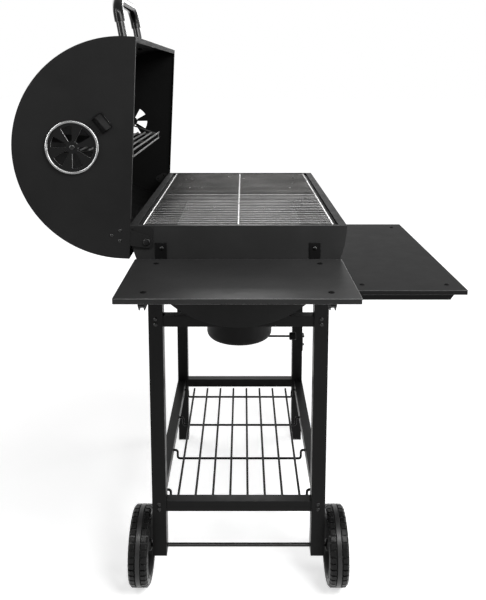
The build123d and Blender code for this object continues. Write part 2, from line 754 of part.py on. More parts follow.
# ---- bottle opener on the right front leg
with BuildPart() as bottle_opener:
    opener_y = -leg_outer_y
    with BuildSketch(along(opener_y, leg_x, opener_bottom + opener_height / 2)):
        Rectangle(opener_width, opener_height)
    extrude(amount=opener_sheet)
    with BuildSketch(along(opener_y, leg_x, opener_bottom + opener_height - opener_sheet)):
        Rectangle(opener_width, 2 * opener_sheet)
    extrude(amount=opener_reach)
    with BuildSketch(along(opener_y, leg_x, opener_bottom + opener_height / 3)):
        Rectangle(opener_width / 2, opener_sheet)
    extrude(amount=opener_reach)
keep(bottle_opener, "bottle_opener")

# ---- lid: rolled shell with a front flange, and end plates with vent holes
with BuildPart() as lid_shell:
    with BuildSketch(in_lid(-lid_half_inner)):
        with BuildLine():
            Polyline(
                (lid_radius, 0),
                (lid_radius, -lid_skirt),
                (lid_inner_radius, -lid_skirt),
                (lid_inner_radius, 0),
            )
            ThreePointArc((lid_inner_radius, 0), (0, lid_inner_radius), (-lid_inner_radius, 0))
            Polyline(
                (-lid_inner_radius, 0),
                (-lid_inner_radius, lid_sheet - lid_skirt),
                (lid_flange - lid_radius, lid_sheet - lid_skirt),
                (lid_flange - lid_radius, -lid_skirt),
                (-lid_radius, -lid_skirt),
                (-lid_radius, 0),
            )
            ThreePointArc((-lid_radius, 0), (0, lid_radius), (lid_radius, 0))
        make_face()
    extrude(amount=2 * lid_half_inner)
    for stem in (-1, 1):
        with BuildSketch(handle_outward(stem * handle_span / 2)):
            Circle(rivet_radius + bore_gap)
        extrude(amount=2 * lid_radius, mode=Mode.SUBTRACT)
keep(lid_shell, "lid_shell")

hinge_pin = (pivot_y, pivot_z - lid_closed_z)
hinge_rivets = (
    (pivot_y - 2 * rivet_spread, rivet_rise - lid_skirt),
    (pivot_y - rivet_spread, rivet_rise + rivet_triangle - lid_skirt),
    (pivot_y, rivet_rise - lid_skirt),
)

with BuildSketch() as vent_wedge:
    with BuildLine():
        inner_arc = CenterArc((0, 0), vent_hole_inner, -vent_blade_angle / 2, vent_blade_angle)
        outer_arc = CenterArc((0, 0), vent_hole_outer, -vent_blade_angle / 2, vent_blade_angle)
        Line(inner_arc @ 0, outer_arc @ 0)
        Line(inner_arc @ 1, outer_arc @ 1)
    make_face()


def cut_vent_holes():
    """Cuts the vent's wedge-shaped holes from the sketch in hand."""
    with Locations((0, vent_rise)):
        with PolarLocations(0, vent_blades, vent_first_angle):
            add(vent_wedge.sketch, mode=Mode.SUBTRACT)


for side, name in sides:
    end_face = side * lid_half_inner
    with BuildPart() as lid_end:
        with BuildSketch(in_lid(end_face)):
            with BuildLine():
                Polyline(
                    (lid_radius, 0),
                    (lid_radius, -lid_skirt),
                    (-lid_radius, -lid_skirt),
                    (-lid_radius, 0),
                )
                ThreePointArc((-lid_radius, 0), (0, lid_radius), (lid_radius, 0))
            make_face()
            with Locations(*hinge_rivets):
                Circle(rivet_radius + flush_gap, mode=Mode.SUBTRACT)
            cut_vent_holes()
            with Locations((0, vent_rise)):
                Circle(vent_pin_radius + flush_gap, mode=Mode.SUBTRACT)
        extrude(amount=side * lid_sheet)
        flange_start = lid_flange - lid_radius
        flange_length = lid_radius - hinge_relief - flange_start
        with BuildSketch(in_lid(end_face)):
            with Locations((flange_start + flange_length / 2, lid_sheet / 2 - lid_skirt)):
                Rectangle(flange_length, lid_sheet)
        extrude(amount=-side * end_flange)
    keep(lid_end, f"lid_end_{name}")

# ---- lid hinges: a bracket on the barrel, an arm riveted in the lid, and a bolt through both
bracket_y = pivot_y - hinge_bracket_edge + hinge_bracket_width / 2
bracket_z = rim_height - 2 - hinge_bracket_height / 2
with BuildPart() as hinge_brackets:
    for side, name in sides:
        with BuildSketch(across(side * barrel_half)):
            with Locations((bracket_y, bracket_z)):
                RectangleRounded(hinge_bracket_width, hinge_bracket_height, hinge_arm_radius / 2)
            with Locations((pivot_y, pivot_z)):
                Circle(hinge_bolt_radius + bore_gap, mode=Mode.SUBTRACT)
        extrude(amount=side * hinge_plate)
keep(hinge_brackets, "hinge_brackets")

with BuildPart() as hinge_arms:
    for side, name in sides:
        with BuildSketch(in_lid(side * (barrel_half + hinge_plate + slide_gap))):
            with Locations(*hinge_rivets):
                Circle(2 * rivet_head_radius)
            with Locations(hinge_pin):
                Circle(hinge_arm_radius)
            make_hull()
            with Locations(*hinge_rivets):
                Circle(rivet_radius + flush_gap, mode=Mode.SUBTRACT)
            with Locations(hinge_pin):
                Circle(hinge_bolt_radius + bore_gap, mode=Mode.SUBTRACT)
        extrude(amount=side * hinge_plate)
keep(hinge_arms, "hinge_arms")

with BuildPart() as hinge_bolts:
    for side, name in sides:
        nut_face = side * (barrel_half - barrel_sheet)
        head_face = side * (barrel_half + 2 * (hinge_plate + slide_gap))
        with BuildSketch(across(nut_face, pivot_y, pivot_z)):
            RegularPolygon(hinge_bolt_head, 6)
        extrude(amount=-side * 2 * bolt_head_height)
        with BuildSketch(across(nut_face, pivot_y, pivot_z)):
            Circle(hinge_bolt_radius)
        extrude(amount=head_face - nut_face)
        with BuildSketch(across(head_face, pivot_y, pivot_z)):
            Circle(hinge_bolt_head)
        extrude(amount=side * bolt_head_height)
    for outer_face in (hinge_bolts.faces().sort_by(Axis.X)[0], hinge_bolts.faces().sort_by(Axis.X)[-1]):
        fillet(outer_face.edges(), bolt_head_height / 2)
keep(hinge_bolts, "hinge_bolts")

with BuildPart() as lid_rivets:
    for side, name in sides:
        with BuildSketch(in_lid(side * lid_half)):
            with Locations(*hinge_rivets):
                Circle(rivet_head_radius)
        extrude(amount=side * rivet_head_height)
        with BuildSketch(in_lid(side * lid_half)):
            with Locations(*hinge_rivets):
                Circle(rivet_radius)
        extrude(amount=-side * (lid_sheet + hinge_plate))
keep(lid_rivets, "lid_rivets")

# ---- lid handle: a bent tube with a sleeve over its grip, bolted from inside the lid
stem_foot = lid_radius + flush_gap
bar_radius = lid_radius + handle_reach
half_span = handle_span / 2
with BuildPart() as lid_handle:
    with BuildLine(handle_face()) as handle_line:
        FilletPolyline(
            (-half_span, stem_foot),
            (-half_span, bar_radius),
            (half_span, bar_radius),
            (half_span, stem_foot),
            radius=handle_bend,
        )
    with BuildSketch(Plane(origin=handle_line.line @ 0, z_dir=handle_line.line % 0)):
        Circle(handle_tube_radius)
        Circle(handle_tube_radius - handle_wall, mode=Mode.SUBTRACT)
    sweep()
keep(lid_handle, "lid_handle")

with BuildPart() as handle_grip:
    with BuildLine(handle_face()) as grip_line:
        FilletPolyline(
            (-half_span, bar_radius - grip_drop),
            (-half_span, bar_radius),
            (half_span, bar_radius),
            (half_span, bar_radius - grip_drop),
            radius=handle_bend,
        )
    with BuildSketch(Plane(origin=grip_line.line @ 0, z_dir=grip_line.line % 0)):
        Circle(handle_tube_radius + grip_wall)
        Circle(handle_tube_radius + flush_gap, mode=Mode.SUBTRACT)
    sweep()
keep(handle_grip, "handle_grip")

with BuildPart() as handle_bolts:
    head_radius = 2 * rivet_radius + bolt_head_height / 2
    head_seat = sqrt(lid_inner_radius**2 - head_radius**2) - flush_gap
    for stem in (-1, 1):
        seat = handle_outward(stem * half_span).offset(head_seat)
        with BuildSketch(seat):
            RegularPolygon(head_radius, 6)
        extrude(amount=-2 * bolt_head_height)
        with BuildSketch(seat):
            Circle(rivet_radius)
        extrude(amount=bar_radius - grip_drop - head_seat)
keep(handle_bolts, "handle_bolts")

# ---- lid vents: a holed disc with a chrome ring and a finger tab, turning on a pin
for side, name in sides:
    disc_face = side * (lid_half + slide_gap)
    ring_face = disc_face + side * vent_disc_sheet
    tab_turn = Location((0, vent_rise, 0), (0, 0, vent_tab_angle))
    with BuildPart() as vent_disc:
        with BuildSketch(in_lid(disc_face)):
            with Locations((0, vent_rise)):
                Circle(vent_ring_radius - vent_ring_width / 4)
            with Locations(tab_turn):
                Rectangle(
                    vent_tab_reach + vent_tab_wide / 2,
                    vent_tab_long / 2,
                    align=(Align.MIN, Align.CENTER),
                )
            cut_vent_holes()
            with Locations((0, vent_rise)):
                Circle(vent_pin_radius + bore_gap, mode=Mode.SUBTRACT)
        extrude(amount=side * vent_disc_sheet)
    keep(vent_disc, f"vent_disc_{name}")

    with BuildPart() as vent_ring:
        with BuildSketch(in_lid(ring_face)):
            with Locations((0, vent_rise)):
                Circle(vent_ring_radius)
                Circle(vent_ring_radius - vent_ring_width, mode=Mode.SUBTRACT)
        extrude(amount=side * vent_ring_height)
        fillet(vent_ring.faces().sort_by(Axis.X)[-1 if side > 0 else 0].edges(), vent_ring_width / 3)
    keep(vent_ring, f"vent_ring_{name}")

    with BuildPart() as vent_tab:
        with BuildSketch(in_lid(ring_face)):
            with Locations(tab_turn):
                with Locations((vent_tab_reach, 0)):
                    Rectangle(vent_tab_wide, vent_tab_long)
        extrude(amount=side * vent_tab_height)
        fillet(vent_tab.edges().filter_by(Axis.X), vent_tab_wide / 8)
    keep(vent_tab, f"vent_tab_{name}")

with BuildPart() as vent_pins:
    for side, name in sides:
        pin_foot = side * lid_half_inner
        pin_head = side * (lid_half + vent_disc_sheet + 2 * slide_gap)
        for face, radius, length in (
            (pin_foot, vent_pin_radius, pin_head - pin_foot),
            (pin_head, 2 * vent_pin_radius, side * bolt_head_height),
        ):
            with BuildSketch(in_lid(face)):
                with Locations((0, vent_rise)):
                    Circle(radius)
            extrude(amount=length)
keep(vent_pins, "vent_pins")

# ---- warming rack: welded wires hung from two straps inside the lid, level at any lid angle
rack_y = lid_y - rack_forward * cos(open_turn) + rack_rise * sin(open_turn)
rack_z = lid_z + rack_forward * sin(open_turn) + rack_rise * cos(open_turn)
rack_end = rack_start + rack_length
rack_middle = (rack_start + rack_end) / 2
rack_floor = rack_z - rack_drop
rack_front_y = rack_y - rack_depth / 2
with BuildPart() as warming_rack:
    with BuildSketch(across(rack_start, rack_y, rack_floor)):
        with GridLocations(rack_depth / (rack_wires - 1), 1, rack_wires, 1):
            Circle(rack_wire_radius)
    extrude(amount=rack_length)
    cross_z = rack_floor - 2 * rack_wire_radius + 1
    with BuildSketch(along(rack_y + rack_depth / 2, rack_middle, cross_z)):
        with GridLocations(rack_length / 2 - rack_end_inset, 1, 3, 1):
            Circle(rack_wire_radius)
    extrude(amount=rack_depth)
    with BuildSketch(across(rack_start, rack_front_y, rack_floor - rack_lip)):
        Circle(rack_wire_radius)
    extrude(amount=rack_length)
    for way in (-1, 1):
        end_x = rack_middle + way * (rack_length / 2 - rack_end_inset)
        with BuildSketch(level(rack_floor - rack_lip, end_x, rack_front_y)):
            Circle(rack_thin_radius)
        extrude(amount=rack_lip)
        foot_y = rack_depth / 2 - rack_end_inset
        with BuildLine(across(end_x, rack_y, rack_z)) as end_wire:
            FilletPolyline(
                (-foot_y, -rack_drop - rack_wire_radius),
                (0, 0),
                (foot_y, -rack_drop - rack_wire_radius),
                radius=rack_drop / 2,
            )
        with BuildSketch(Plane(origin=end_wire.line @ 0, z_dir=end_wire.line % 0)):
            Circle(rack_thin_radius)
        sweep()
        with BuildSketch(across(end_x - way * rack_pin_radius, rack_y, rack_z)):
            Circle(rack_pin_radius)
        extrude(amount=way * (rack_end_inset + 2 * rack_pin_radius + hanger_sheet + slide_gap))
keep(warming_rack, "warming_rack")

with BuildPart() as rack_hangers:
    for way in (-1, 1):
        with BuildSketch(in_lid(rack_middle + way * (rack_length / 2 + slide_gap))):
            with Locations((-rack_forward, rack_rise)):
                Circle(hanger_width / 2)
                Rectangle(hanger_width, lid_radius, align=(Align.CENTER, Align.MIN))
            Circle(lid_inner_radius - flush_gap, mode=Mode.INTERSECT)
            with Locations((-rack_forward, rack_rise)):
                Circle(rack_pin_radius + bore_gap, mode=Mode.SUBTRACT)
        extrude(amount=way * hanger_sheet)
keep(rack_hangers, "rack_hangers")
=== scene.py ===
"""Looks of the barrel charcoal grill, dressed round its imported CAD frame. Metres, +Z up."""

import json
import math

import bmesh
import bpy
from mathutils import Matrix, Vector


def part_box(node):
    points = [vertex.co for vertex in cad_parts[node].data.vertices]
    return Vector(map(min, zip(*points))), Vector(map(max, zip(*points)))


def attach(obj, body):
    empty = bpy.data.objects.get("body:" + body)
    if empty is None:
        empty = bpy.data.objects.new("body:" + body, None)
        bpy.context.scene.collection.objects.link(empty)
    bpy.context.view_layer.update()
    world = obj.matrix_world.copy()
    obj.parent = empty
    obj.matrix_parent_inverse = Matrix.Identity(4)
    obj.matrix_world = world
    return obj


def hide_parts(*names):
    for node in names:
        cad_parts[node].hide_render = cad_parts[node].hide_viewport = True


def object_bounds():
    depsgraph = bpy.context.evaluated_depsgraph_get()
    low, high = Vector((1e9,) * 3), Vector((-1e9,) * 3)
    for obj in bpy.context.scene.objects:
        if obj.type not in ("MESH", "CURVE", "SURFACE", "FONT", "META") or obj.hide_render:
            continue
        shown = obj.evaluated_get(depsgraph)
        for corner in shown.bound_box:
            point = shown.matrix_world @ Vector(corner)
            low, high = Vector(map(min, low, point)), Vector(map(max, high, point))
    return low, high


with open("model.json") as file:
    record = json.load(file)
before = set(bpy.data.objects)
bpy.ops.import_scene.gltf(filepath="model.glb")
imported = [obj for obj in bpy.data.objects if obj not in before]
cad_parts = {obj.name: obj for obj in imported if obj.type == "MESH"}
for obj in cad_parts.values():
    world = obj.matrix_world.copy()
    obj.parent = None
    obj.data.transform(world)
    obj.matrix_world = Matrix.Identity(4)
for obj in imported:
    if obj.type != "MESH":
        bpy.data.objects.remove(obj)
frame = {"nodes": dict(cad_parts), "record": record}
cad_low, cad_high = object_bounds()

MM = 0.001
X, Y, Z = Vector((1, 0, 0)), Vector((0, 1, 0)), Vector((0, 0, 1))
WELD = 0.001 * MM
# which way along X each end of the barrel looks
OUTWARD = {"left": -1, "right": 1}

nodes = frame["nodes"]
slot_of = {row["node"]: row["material_slot"] for row in frame["record"]["subparts"]}
body_of = {
    node_name: body
    for body, node_names in frame["record"]["behaviour"]["bodies"].items()
    for node_name in node_names
}


# ---------------------------------------------------------------- shader nodes
# the numbers of a Mix node's sockets for colours
MIX_FACTOR, MIX_FIRST, MIX_SECOND, MIX_RESULT = 0, 6, 7, 2
BEVEL_SAMPLES = 4
# (detail, roughness) of each kind of noise, and the scales that all finishes share
CLOUDS, GRAIN, SMUDGES, SPECKS = (5.0, 0.55), (2.0, 0.5), (6.0, 0.65), (3.0, 0.7)
SMUDGE_SCALE = 26.0
SPECK_SCALE = 420.0
# the ranges of noise that shade from none to full, and the cosines of a flat and a sharp place
NOISE_MIDDLE = (0.3, 0.7)
SPECK_PEAKS = (0.62, 0.78)
EDGE_COSINES = (0.995, 0.8)


def node_adder(tree):
    """A function that adds a node to a tree, with its values set and its inputs linked."""

    def add(kind, links=(), **values):
        node = tree.nodes.new(kind)
        for key, value in values.items():
            if hasattr(node, key):
                setattr(node, key, value)
            else:
                node.inputs[key.replace("_", " ")].default_value = value
        for source, socket in links:
            tree.links.new(source, node.inputs[socket])
        return node

    return add


def new_material(name):
    """A new material, its Principled shader, and its node adder."""
    made = bpy.data.materials.new(name)
    made.use_nodes = True
    tree = made.node_tree
    return made, tree.nodes["Principled BSDF"], node_adder(tree)


def noise(add, scale, detail, roughness):
    """Noise in the object's own coordinates, in cycles per metre."""
    place = add("ShaderNodeTexCoord").outputs["Object"]
    return add(
        "ShaderNodeTexNoise", [(place, "Vector")], Scale=scale, Detail=detail, Roughness=roughness
    ).outputs["Fac"]


def remap(add, value, source, target):
    """Carries a value from the (start, end) range source to target, and holds it at the ends."""
    return add(
        "ShaderNodeMapRange", [(value, "Value")],
        From_Min=source[0], From_Max=source[1], To_Min=target[0], To_Max=target[1],
    ).outputs["Result"]


def blend_colours(add, factor, first, second):
    """A colour that goes from first to second as factor goes from 0 to 1."""
    mix = add("ShaderNodeMix", [(factor, MIX_FACTOR)], data_type="RGBA")
    for number, colour in ((MIX_FIRST, first), (MIX_SECOND, second)):
        socket = mix.inputs[number]
        if isinstance(colour, tuple):
            socket.default_value = (*colour, 1)
        else:
            mix.id_data.links.new(colour, socket)
    return mix.outputs[MIX_RESULT]


def edge_factor(add, radius, amount):
    """Near amount along sharp edges and 0 on flat faces, from a bevelled normal."""
    bevel = add("ShaderNodeBevel", samples=BEVEL_SAMPLES, Radius=radius)
    true_normal = add("ShaderNodeNewGeometry").outputs["Normal"]
    turned_by = add(
        "ShaderNodeVectorMath",
        [(bevel.outputs["Normal"], 0), (true_normal, 1)],
        operation="DOT_PRODUCT",
    )
    return remap(add, turned_by.outputs["Value"], EDGE_COSINES, (0.0, amount))


# ---------------------------------------------------------------- finishes
finishes = {}


def grey(value, warmth=0.0):
    """A near-neutral linear colour."""
    return (value * (1 + warmth), value, value * (1 - warmth))


def finish(
    name, tone, worn_and_highlight, roughness, *, metallic=0.0, specular=0.5, drift=1.35, cloud_scale=7.0,
    grain_scale=900.0, grain_strength=0.25, grain_depth=0.15 * MM, dust=0.12, dust_tone=None,
    corner=0.8 * MM, edge=0.35,
):
    """Adds a finish with drifting tone and gloss, fine grain, dust, and softened, lightened edges.

    tone, worn_and_highlight and dust_tone are linear colours, and roughness is (low, high). Clouds
    lighten the tone by up to drift times. dust and edge are how much the specks and the lightened
    edges show; the lightened edges stand for rubbed paint, and on the tables, the vent tab and the
    tyre blocks for a painted highlight. corner is the edges' radius, or None for round wire and
    rolled trim, which have no edges to rub.
    """
    made, shader, add = new_material(name)
    light_tone = tuple(min(1.0, channel * drift) for channel in tone)
    clouds = remap(add, noise(add, cloud_scale, *CLOUDS), NOISE_MIDDLE, (0.0, 1.0))
    colour = blend_colours(add, clouds, tone, light_tone)
    specks = remap(add, noise(add, SPECK_SCALE, *SPECKS), SPECK_PEAKS, (0.0, dust))
    colour = blend_colours(add, specks, colour, dust_tone or worn_and_highlight)
    bump_links = [(noise(add, grain_scale, *GRAIN), "Height")]
    if corner:
        # edges lighten towards worn_and_highlight: rubbed paint, and on the tables, the vent tab
        # and the tyre blocks a painted highlight
        colour = blend_colours(add, edge_factor(add, corner, edge), colour, worn_and_highlight)
        soft_corner = add("ShaderNodeBevel", samples=BEVEL_SAMPLES, Radius=corner)
        bump_links.append((soft_corner.outputs["Normal"], "Normal"))
    bump = add("ShaderNodeBump", bump_links, Strength=grain_strength, Distance=grain_depth)
    gloss = remap(add, noise(add, SMUDGE_SCALE, *SMUDGES), NOISE_MIDDLE, roughness)
    links = made.node_tree.links
    links.new(colour, shader.inputs["Base Color"])
    links.new(gloss, shader.inputs["Roughness"])
    links.new(bump.outputs["Normal"], shader.inputs["Normal"])
    shader.inputs["Metallic"].default_value = metallic
    shader.inputs["Specular IOR Level"].default_value = specular
    finishes[name] = made


# sprayed and baked paints
finish(
    "satin_enamel", grey(0.0135), grey(0.02), (0.44, 0.6), specular=0.07, edge=0.2,
    grain_scale=650.0, grain_strength=0.22, grain_depth=0.12 * MM,
)
# painted light: a lighter copy of the satin enamel, standing in for light falling on the firebox
# ends
finish(
    "firebox_end_painted_light", grey(0.023), grey(0.04), (0.4, 0.54), specular=0.08, edge=0.2,
    grain_scale=650.0, grain_strength=0.22, grain_depth=0.12 * MM,
)
# painted shade: a darker, duller copy of the enamel for the inside of the lid
finish(
    "lid_inside_painted_shade", grey(0.005), grey(0.015), (0.55, 0.75), specular=0.05, edge=0.1,
    grain_scale=500.0, dust=0.1, dust_tone=grey(0.012, 0.05),
)
finish(
    "disc_black", grey(0.004), grey(0.03), (0.16, 0.28), specular=0.14, edge=0.4, corner=0.4 * MM
)
finish(
    "tube_paint", grey(0.0048), grey(0.03), (0.28, 0.42), specular=0.1, edge=0.6,
    grain_scale=500.0, corner=1.6 * MM,
)
finish(
    "handle_gloss", grey(0.003), grey(0.012), (0.1, 0.16), specular=0.25, edge=0.1,
    grain_scale=700.0, grain_strength=0.04,
)
# painted sheen: the side table's paint is lighter than the front table's, standing in for the
# reflection it catches, and its fold edges lighten to a painted highlight
finish(
    "table_paint", grey(0.03), grey(0.4), (0.33, 0.4), specular=0.05, edge=0.9,
    grain_scale=750.0, corner=1.8 * MM, dust_tone=grey(0.08),
)
# painted shade: a darker copy of the table paint for the front table, with a painted highlight
# along its edges
finish(
    "front_table_shaded_copy", grey(0.012), grey(0.3), (0.51, 0.56), specular=0.05, edge=0.8,
    grain_scale=750.0, corner=1.8 * MM, dust_tone=grey(0.06), drift=1.12, dust=0.06,
)

# plated, polished and bare metal
finish(
    "plated_wire", grey(0.13, 0.01), grey(0.4), (0.26, 0.4), metallic=1.0, corner=None,
    grain_scale=1500.0, grain_strength=0.05, dust=0.1, dust_tone=grey(0.05, 0.03), drift=1.8,
)
finish(
    "rubbed_wire", grey(0.33, 0.01), grey(0.7), (0.18, 0.3), metallic=1.0, corner=None,
    grain_scale=1500.0, grain_strength=0.05,
)
# painted shade: a darker copy of the plated wire for the far grate
finish(
    "far_grate_painted_shade", grey(0.06, 0.02), grey(0.3), (0.26, 0.4), metallic=1.0, corner=None,
    grain_scale=1500.0, grain_strength=0.05, dust=0.15, dust_tone=grey(0.03, 0.03), drift=2.0,
)
finish(
    "rack_wire", grey(0.03, 0.02), grey(0.3), (0.4, 0.52), metallic=0.6, corner=None,
    grain_scale=1500.0, grain_strength=0.05, dust=0.15, dust_tone=grey(0.02, 0.03), drift=2.0,
)
finish(
    "pan_steel", grey(0.3, 0.01), grey(0.45), (0.42, 0.6), metallic=0.3, specular=0.4,
    edge=0.5, cloud_scale=11.0, dust=0.3, dust_tone=grey(0.07),
)
finish(
    "chrome_trim", grey(0.18), grey(0.5), (0.18, 0.28), metallic=1.0, corner=None,
    grain_scale=1500.0, grain_strength=0.02, dust=0.1, dust_tone=grey(0.15),
)
finish(
    "dulled_pin", grey(0.02), grey(0.3), (0.1, 0.18), metallic=1.0, edge=0.4, corner=0.5 * MM
)
finish(
    "bare_cut_edge", grey(0.5), grey(0.7), (0.25, 0.4), metallic=1.0, edge=0.2, corner=0.2 * MM
)
finish(
    "black_zinc", grey(0.004), grey(0.04), (0.12, 0.2), specular=0.3, edge=0.3,
    grain_scale=1200.0, corner=0.4 * MM,
)
finish(
    "screw_black", grey(0.003), grey(0.03), (0.4, 0.5), specular=0.04, edge=0.3,
    grain_scale=1200.0, corner=0.3 * MM,
)

# plastics and rubber
# painted highlight: the tab's ridge and edges lighten to a grey far paler than its black
finish(
    "tab_plastic", grey(0.003), grey(0.08), (0.34, 0.44), specular=0.05, edge=0.8,
    grain_scale=1400.0, corner=0.6 * MM,
)
finish(
    "grip_sleeve", grey(0.003), grey(0.012), (0.14, 0.2), specular=0.16, edge=0.2,
    grain_scale=800.0, grain_strength=0.06,
)
finish(
    "wheel_plastic", grey(0.012), grey(0.05), (0.4, 0.55), specular=0.25, edge=0.4,
    grain_scale=1100.0,
)
# painted sheen: the rib's rubber is lighter than the blocks', standing in for the light the rib
# catches
finish(
    "tread_rubber", grey(0.016), grey(0.08), (0.26, 0.4), specular=0.32, edge=0.7,
    grain_scale=1300.0, grain_strength=0.35, dust=0.2, dust_tone=grey(0.08, 0.04),
)
# painted glints: the blocks' edges lighten to a grey ten times their tone
finish(
    "block_rubber", grey(0.006), grey(0.06), (0.22, 0.34), specular=0.13, edge=0.5,
    grain_scale=1300.0, grain_strength=0.35, dust=0.15, dust_tone=grey(0.03, 0.04),
)

SLOT_FINISH = {
    "enamel": "satin_enamel",
    "tube_paint": "tube_paint",
    "table_paint": "table_paint",
    "wire_nickel": "plated_wire",
    "hardware": "black_zinc",
    "chrome_trim": "chrome_trim",
    "pan_steel": "pan_steel",
    "tab_black": "tab_plastic",
    "grip_sleeve": "grip_sleeve",
    "wheel_plastic": "wheel_plastic",
    "tread_rubber": "tread_rubber",
}
# nodes that take another finish than their slot's; on the firebox ends it is painted light, on the
# far grate and the front table painted shade
NODE_FINISH = {
    "firebox_end_left": "firebox_end_painted_light",
    "firebox_end_right": "firebox_end_painted_light",
    "vent_disc_left": "disc_black",
    "vent_disc_right": "disc_black",
    "vent_pins": "dulled_pin",
    "cooking_grate_right": "far_grate_painted_shade",
    "warming_rack": "rack_wire",
    "lid_handle": "handle_gloss",
    "front_table": "front_table_shaded_copy",
    "front_screws": "screw_black",
    "side_screws": "screw_black",
}


def paint(piece, node_name):
    """Gives a piece the finish of the CAD node that it is or stands for, chosen by the node or its
    slot.
    """
    slot = slot_of[node_name]
    piece.data.materials.clear()
    piece.data.materials.append(finishes[NODE_FINISH.get(node_name, SLOT_FINISH[slot])])


def paint_some(piece, finish_name, chosen):
    """Gives a second finish to the faces of a piece that chosen picks."""
    piece.data.materials.append(finishes[finish_name])
    for polygon in piece.data.polygons:
        polygon.material_index = 1 if chosen(polygon) else 0


def smooth(mesh, sharp_degrees):
    """Shades a mesh smooth, but for edges where it turns by more than an angle."""
    mesh.polygons.foreach_set("use_smooth", [True] * len(mesh.polygons))
    mesh.set_sharp_from_angle(angle=math.radians(sharp_degrees))


# ---------------------------------------------------------------- carried-over CAD nodes
for node_name, node in nodes.items():
    paint(node, node_name)
    smooth(node.data, 30)

# the wires of each grate that run along the barrel are rubbed bright
for end_name in OUTWARD:
    paint_some(
        nodes[f"cooking_grate_{end_name}"], "rubbed_wire",
        lambda face: abs(face.normal.y) > 0.1 and abs(face.normal.x) < 0.1,
    )

# the vent discs show bare metal on their cut edges
for end_name in OUTWARD:
    paint_some(
        nodes[f"vent_disc_{end_name}"], "bare_cut_edge", lambda face: abs(face.normal.x) < 0.5
    )

lid_low, lid_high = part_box("lid_shell")
lid_axis = (lid_low + lid_high) / 2
lid_axis.y = lid_high.y - (lid_high.z - lid_low.z) / 2


def looks_inward(face, is_end):
    """Whether a face of the lid's shell looks at its axis, or a face of an end at the middle."""
    inward = lid_axis - face.center
    inward = X * inward.x if is_end else inward - X * inward.x
    return face.normal.dot(inward.normalized()) > 0.5


# painted shade: the faces inside the lid take a darker, duller copy of the enamel
paint_some(nodes["lid_shell"], "lid_inside_painted_shade", lambda face: looks_inward(face, False))
for end_name in OUTWARD:
    paint_some(nodes[f"lid_end_{end_name}"], "lid_inside_painted_shade", lambda face: looks_inward(face, True))


# ---------------------------------------------------------------- mesh helpers
def stand_for(node_name, ending, mesh_data, sharp_degrees):
    """Makes a bmesh into a piece in a CAD node's place, with its finish and its body."""
    name = f"{node_name}_{ending}"
    mesh = bpy.data.meshes.new(name)
    bmesh.ops.recalc_face_normals(mesh_data, faces=mesh_data.faces)
    mesh_data.to_mesh(mesh)
    mesh_data.free()
    smooth(mesh, sharp_degrees)
    piece = bpy.data.objects.new(name, mesh)
    bpy.context.scene.collection.objects.link(piece)
    paint(piece, node_name)
    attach(piece, body_of[node_name])
    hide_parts(node_name)
    return piece


def full_turn(steps):
    """Evenly spaced angles round a circle."""
    return [math.tau * step / steps for step in range(steps)]


def join_rings(mesh_data, rings, closed):
    """Joins equal rings of points with faces, and the last ring to the first if closed."""
    loops = [[mesh_data.verts.new(point) for point in ring] for ring in rings]
    count = len(loops[0])
    for k in range(len(loops) if closed else len(loops) - 1):
        here, there = loops[k], loops[(k + 1) % len(loops)]
        for i in range(count):
            j = (i + 1) % count
            mesh_data.faces.new((here[i], here[j], there[j], there[i]))
    return loops


def loft(mesh_data, rings):
    """Joins equal rings of points into a solid with flat ends."""
    loops = join_rings(mesh_data, rings, closed=False)
    mesh_data.faces.new(loops[0][::-1])
    mesh_data.faces.new(loops[-1])


def middle_of(node_name):
    """The centre of a CAD node's box."""
    low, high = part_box(node_name)
    return (low + high) / 2


def extent(node_name, direction):
    """(low, high) of a CAD node along any direction."""
    node = nodes[node_name]
    reach = [(node.matrix_world @ vert.co).dot(direction) for vert in node.data.vertices]
    return min(reach), max(reach)


def islands(node_name):
    """(low, high) of each separate solid in a CAD node, sorted by place."""
    mesh_data = bmesh.new()
    mesh_data.from_mesh(nodes[node_name].data)
    bmesh.ops.remove_doubles(mesh_data, verts=mesh_data.verts, dist=WELD)
    left = set(mesh_data.verts)
    boxes = []
    while left:
        reached = [left.pop()]
        low, high = reached[0].co.copy(), reached[0].co.copy()
        while reached:
            vert = reached.pop()
            low = Vector(map(min, low, vert.co))
            high = Vector(map(max, high, vert.co))
            for edge in vert.link_edges:
                other = edge.other_vert(vert)
                if other in left:
                    left.remove(other)
                    reached.append(other)
        boxes.append((low, high))
    mesh_data.free()
    return sorted(boxes, key=lambda box: tuple(round(value, 4) for value in box[0]))


def round_axle(centre, sideways, radius, angle):
    """A point at a radius and angle about an axle along Y, sideways of a wheel's centre."""
    return centre + Vector((radius * math.cos(angle), sideways, radius * math.sin(angle)))


# ---------------------------------------------------------------- tyres
TREAD_BLOCKS = 38
TREAD_MARGIN = 0.1 * MM
TREAD_DEPTH = 3.4 * MM
RIB_HALF = 4.6 * MM
GROOVE_HALF = 6.6 * MM
BLOCK_SHOULDER = 5.5 * MM
GROOVE_SHOULDER = 7 * MM
# shares of one block's pitch, and whether the tread stands full there
TREAD_STEPS = ((0, True), (0.35, True), (0.7, True), (0.75, False), (0.95, False))


